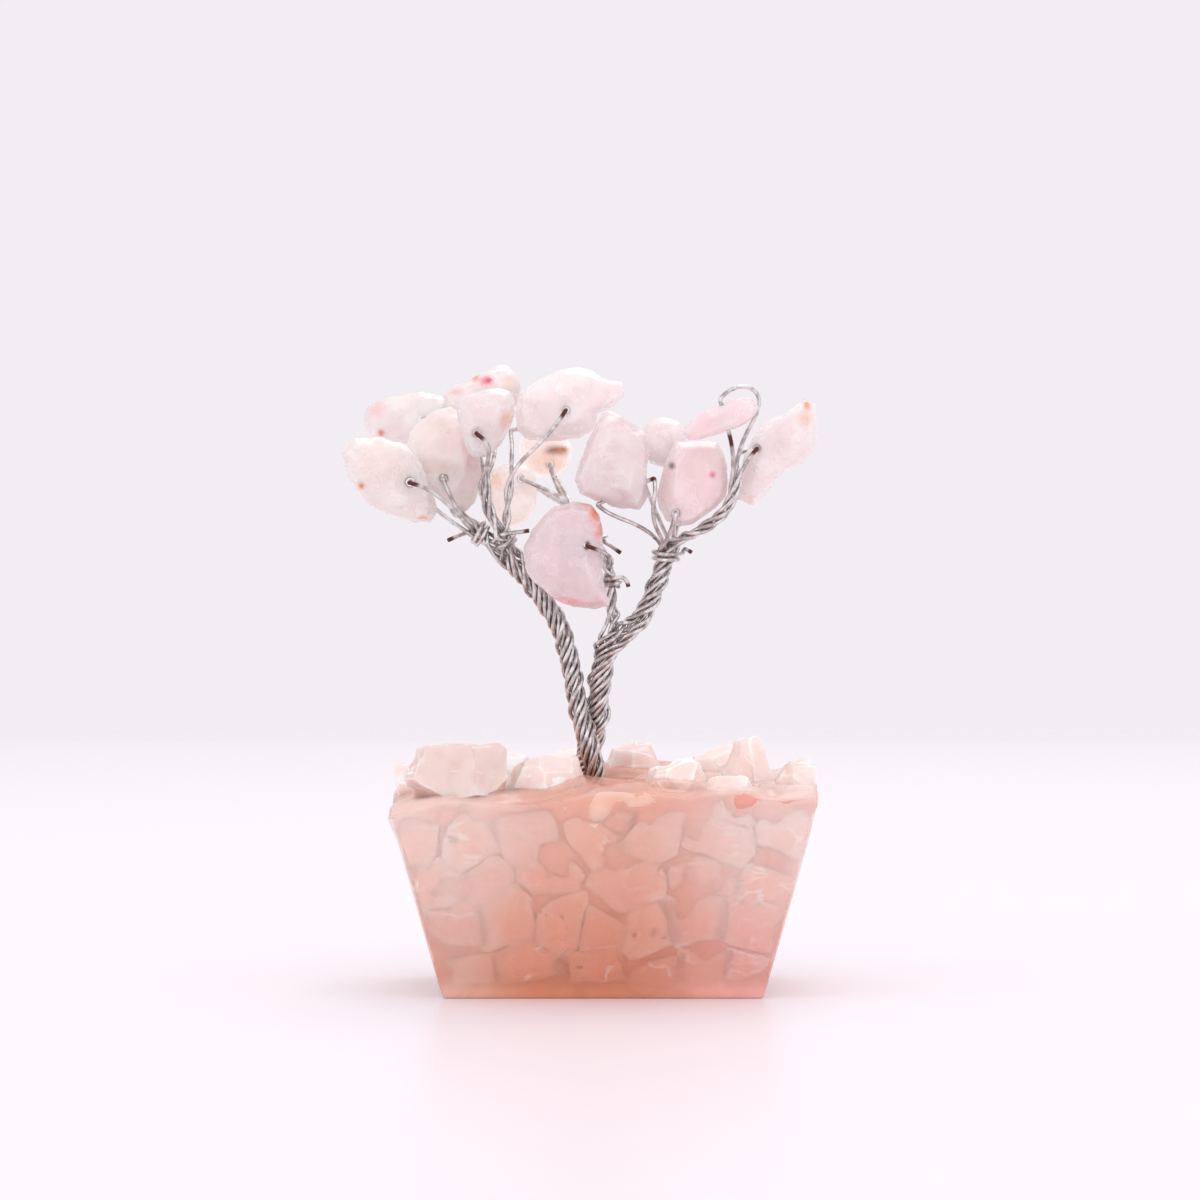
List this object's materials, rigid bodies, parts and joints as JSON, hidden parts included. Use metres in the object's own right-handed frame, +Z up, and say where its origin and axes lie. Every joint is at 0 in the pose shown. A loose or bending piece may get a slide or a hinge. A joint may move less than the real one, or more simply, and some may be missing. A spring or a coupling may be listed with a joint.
{
  "type": "gemstone tree ornament",
  "caption": "Miniature tree of twisted craft wire with drilled pink quartz chips, standing in a tapered block of clear resin packed with more chips.",
  "frame": {"origin": "middle of the base's flat bottom", "axes": "+Z up, +X to the right seen from the front, +Y to the back"},
  "size_m": [0.0462, 0.0291, 0.0599],
  "materials": {
    "cast_resin": "clear cast resin with a warm peach tint, glossy",
    "base_quartz": "tumbled rose quartz, glossy, translucent",
    "tree_quartz": "tumbled pale rose quartz, glossy, translucent",
    "craft_wire": "bright drawn craft wire, dark at the cut ends"
  },
  "bodies": {
    "base_and_wires": {"base_resin": "cast_resin", "bottom_course_chips": "base_quartz", "second_course_chips": "base_quartz", "third_course_chips": "base_quartz", "rim_course_chips": "base_quartz", "broad_slab_chip": "base_quartz", "low_sloped_chip": "base_quartz", "small_left_chip": "base_quartz", "front_middle_chip": "base_quartz", "bumpy_chip": "base_quartz", "small_rounded_chip": "base_quartz", "peaked_chip": "base_quartz", "corner_chip": "base_quartz", "rear_middle_chip": "base_quartz", "rear_left_chip": "base_quartz", "rear_right_chip": "base_quartz", "rear_peaked_chip": "base_quartz", "rear_corner_chip": "base_quartz", "rear_small_chip": "base_quartz", "rear_low_chip": "base_quartz", "far_left_wire": "craft_wire", "upper_left_wire": "craft_wire", "left_middle_wire": "craft_wire", "grey_pink_wire": "craft_wire", "ridge_wire": "craft_wire", "pale_peach_wire": "craft_wire", "crown_wire": "craft_wire", "brown_stained_wire": "craft_wire", "teardrop_wire": "craft_wire", "triangle_wire": "craft_wire", "shadowed_wire": "craft_wire", "front_pink_wire": "craft_wire", "loop_wire": "craft_wire", "far_right_wire": "craft_wire"},
    "far_left_chip_body": {"far_left_chip": "tree_quartz"},
    "upper_left_chip_body": {"upper_left_chip": "tree_quartz"},
    "left_middle_chip_body": {"left_middle_chip": "tree_quartz"},
    "grey_pink_chip_body": {"grey_pink_chip": "tree_quartz"},
    "ridge_chip_body": {"ridge_chip": "tree_quartz"},
    "pale_peach_chip_body": {"pale_peach_chip": "tree_quartz"},
    "crown_chip_body": {"crown_chip": "tree_quartz"},
    "brown_stained_chip_body": {"brown_stained_chip": "tree_quartz"},
    "teardrop_chip_body": {"teardrop_chip": "tree_quartz"},
    "triangle_chip_body": {"triangle_chip": "tree_quartz"},
    "shadowed_chip_body": {"shadowed_chip": "tree_quartz"},
    "front_pink_chip_body": {"front_pink_chip": "tree_quartz"},
    "loop_chip_body": {"loop_chip": "tree_quartz"},
    "far_right_chip_body": {"far_right_chip": "tree_quartz"}
  },
  "joints": [
    {"name": "far_left_swing", "type": "hinge", "parent": "base_and_wires", "child": "far_left_chip_body", "pos_m": [-0.01848, -0.00198, 0.04878], "axis": [0, 1, 0], "range_deg": [-8, 8]},
    {"name": "upper_left_swing", "type": "hinge", "parent": "base_and_wires", "child": "upper_left_chip_body", "pos_m": [-0.01725, 0.00858, 0.05444], "axis": [0, 1, 0], "range_deg": [-8, 8]},
    {"name": "left_middle_swing", "type": "hinge", "parent": "base_and_wires", "child": "left_middle_chip_body", "pos_m": [-0.01537, 0.00217, 0.04897], "axis": [0, 1, 0], "range_deg": [-6, 4]},
    {"name": "grey_pink_swing", "type": "hinge", "parent": "base_and_wires", "child": "grey_pink_chip_body", "pos_m": [-0.01207, -0.00302, 0.05349], "axis": [0, 1, 0], "range_deg": [-8, 7]},
    {"name": "ridge_swing", "type": "hinge", "parent": "base_and_wires", "child": "ridge_chip_body", "pos_m": [-0.01094, 0.00603, 0.05557], "axis": [0, 1, 0], "range_deg": [-8, 8]},
    {"name": "pale_peach_swing", "type": "hinge", "parent": "base_and_wires", "child": "pale_peach_chip_body", "pos_m": [-0.00792, 0.00396, 0.04897], "axis": [0, 1, 0], "range_deg": [-8, 8]},
    {"name": "crown_swing", "type": "hinge", "parent": "base_and_wires", "child": "crown_chip_body", "pos_m": [-0.00358, 0.00339, 0.05557], "axis": [0, 1, 0], "range_deg": [-5, 5]},
    {"name": "brown_stained_swing", "type": "hinge", "parent": "base_and_wires", "child": "brown_stained_chip_body", "pos_m": [-0.00519, 0.0083, 0.05019], "axis": [0, 1, 0], "range_deg": [-8, 8]},
    {"name": "teardrop_swing", "type": "hinge", "parent": "base_and_wires", "child": "teardrop_chip_body", "pos_m": [-0.00151, -0.00405, 0.04284], "axis": [0, 1, 0], "range_deg": [-6, 6]},
    {"name": "triangle_swing", "type": "hinge", "parent": "base_and_wires", "child": "triangle_chip_body", "pos_m": [0.00217, -0.00198, 0.04789], "axis": [0.9066, 0, 0.422], "range_deg": [-6, 6]},
    {"name": "shadowed_swing", "type": "hinge", "parent": "base_and_wires", "child": "shadowed_chip_body", "pos_m": [0.00594, 0.00339, 0.05095], "axis": [1, 0, 0], "range_deg": [-8, 8]},
    {"name": "front_pink_swing", "type": "hinge", "parent": "base_and_wires", "child": "front_pink_chip_body", "pos_m": [0.00698, -0.00094, 0.04576], "axis": [0, 1, 0], "range_deg": [-6, 4]},
    {"name": "loop_swing", "type": "hinge", "parent": "base_and_wires", "child": "loop_chip_body", "pos_m": [0.01164, -0.00415, 0.05491], "axis": [0.2652, 0, -0.9642], "range_deg": [-20, 20]},
    {"name": "far_right_swing", "type": "hinge", "parent": "base_and_wires", "child": "far_right_chip_body", "pos_m": [0.0148, 0.00104, 0.05199], "axis": [0, 1, 0], "range_deg": [-8, 8]}
  ]
}
